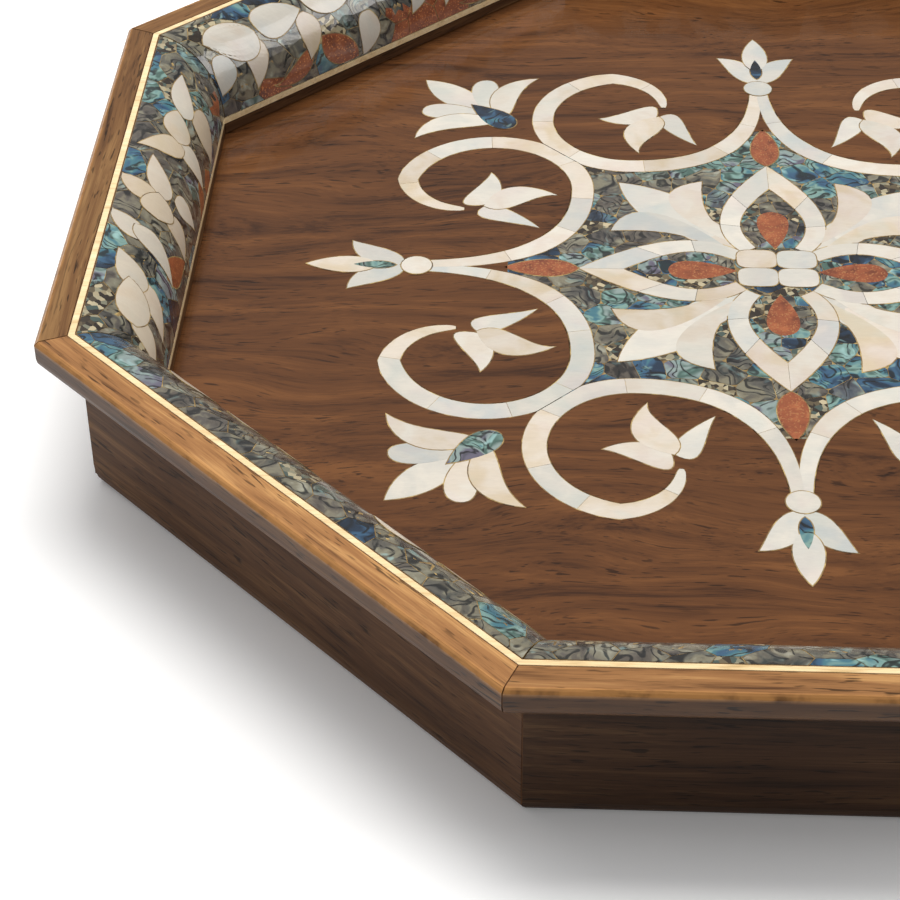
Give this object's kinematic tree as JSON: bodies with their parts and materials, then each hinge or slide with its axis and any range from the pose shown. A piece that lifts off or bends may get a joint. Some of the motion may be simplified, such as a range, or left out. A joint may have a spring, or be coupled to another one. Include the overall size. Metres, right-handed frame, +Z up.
{
  "type": "inlaid serving tray",
  "caption": "Octagonal wooden tray with a thick railed rim, inward-bulging mosaic-faced walls and a flat floor inlaid with a scrolling shell medallion.",
  "frame": {"origin": "centre of the tray's octagonal footprint, at the height of the table it stands on", "axes": "+Z up out of the tray's mouth; -Y towards the front flat side; X and Y run square to flat sides and along the arms of the floor medallion"},
  "size_m": [0.3874, 0.4054, 0.0484],
  "materials": {
    "dark_walnut": "satin varnish",
    "rail_wood": "satin varnish",
    "floor_wood": "gloss lacquer",
    "pale_string": "satin varnish",
    "pearl": "polished shell",
    "shell_mosaic": "polished shell"
  },
  "bodies": {
    "root": {"wall_board_right": "dark_walnut", "wall_board_back_right": "dark_walnut", "wall_board_back": "dark_walnut", "wall_board_back_left": "dark_walnut", "wall_board_left": "dark_walnut", "wall_board_front_left": "dark_walnut", "wall_board_front": "dark_walnut", "wall_board_front_right": "dark_walnut", "rim_rail_right": "rail_wood", "rim_rail_back_right": "rail_wood", "rim_rail_back": "rail_wood", "rim_rail_back_left": "rail_wood", "rim_rail_left": "rail_wood", "rim_rail_front_left": "rail_wood", "rim_rail_front": "rail_wood", "rim_rail_front_right": "rail_wood", "wall_mosaic_right": "shell_mosaic", "wall_mosaic_back_right": "shell_mosaic", "wall_mosaic_back": "shell_mosaic", "wall_mosaic_back_left": "shell_mosaic", "wall_mosaic_left": "shell_mosaic", "wall_mosaic_front_left": "shell_mosaic", "wall_mosaic_front": "shell_mosaic", "wall_mosaic_front_right": "shell_mosaic", "upper_string": "pale_string", "lower_string": "pale_string", "floor_panel": "floor_wood", "finial_left": "pearl", "scroll_left": "pearl", "sprig_left_near": "pearl", "sprig_left_far": "pearl", "finial_front": "pearl", "scroll_front": "pearl", "sprig_front_near": "pearl", "sprig_front_far": "pearl", "finial_right": "pearl", "scroll_right": "pearl", "sprig_right_near": "pearl", "sprig_right_far": "pearl", "finial_back": "pearl", "scroll_back": "pearl", "sprig_back_near": "pearl", "sprig_back_far": "pearl", "corner_lily_front_left": "pearl", "inner_lily_front_left": "pearl", "corner_lily_front_right": "pearl", "inner_lily_front_right": "pearl", "corner_lily_back_right": "pearl", "inner_lily_back_right": "pearl", "corner_lily_back_left": "pearl", "inner_lily_back_left": "pearl", "petal_fill_left": "shell_mosaic", "petal_fill_front": "shell_mosaic", "petal_fill_right": "shell_mosaic", "petal_fill_back": "shell_mosaic", "rosette": "pearl", "mosaic_ground": "shell_mosaic"}
  },
  "joints": []
}
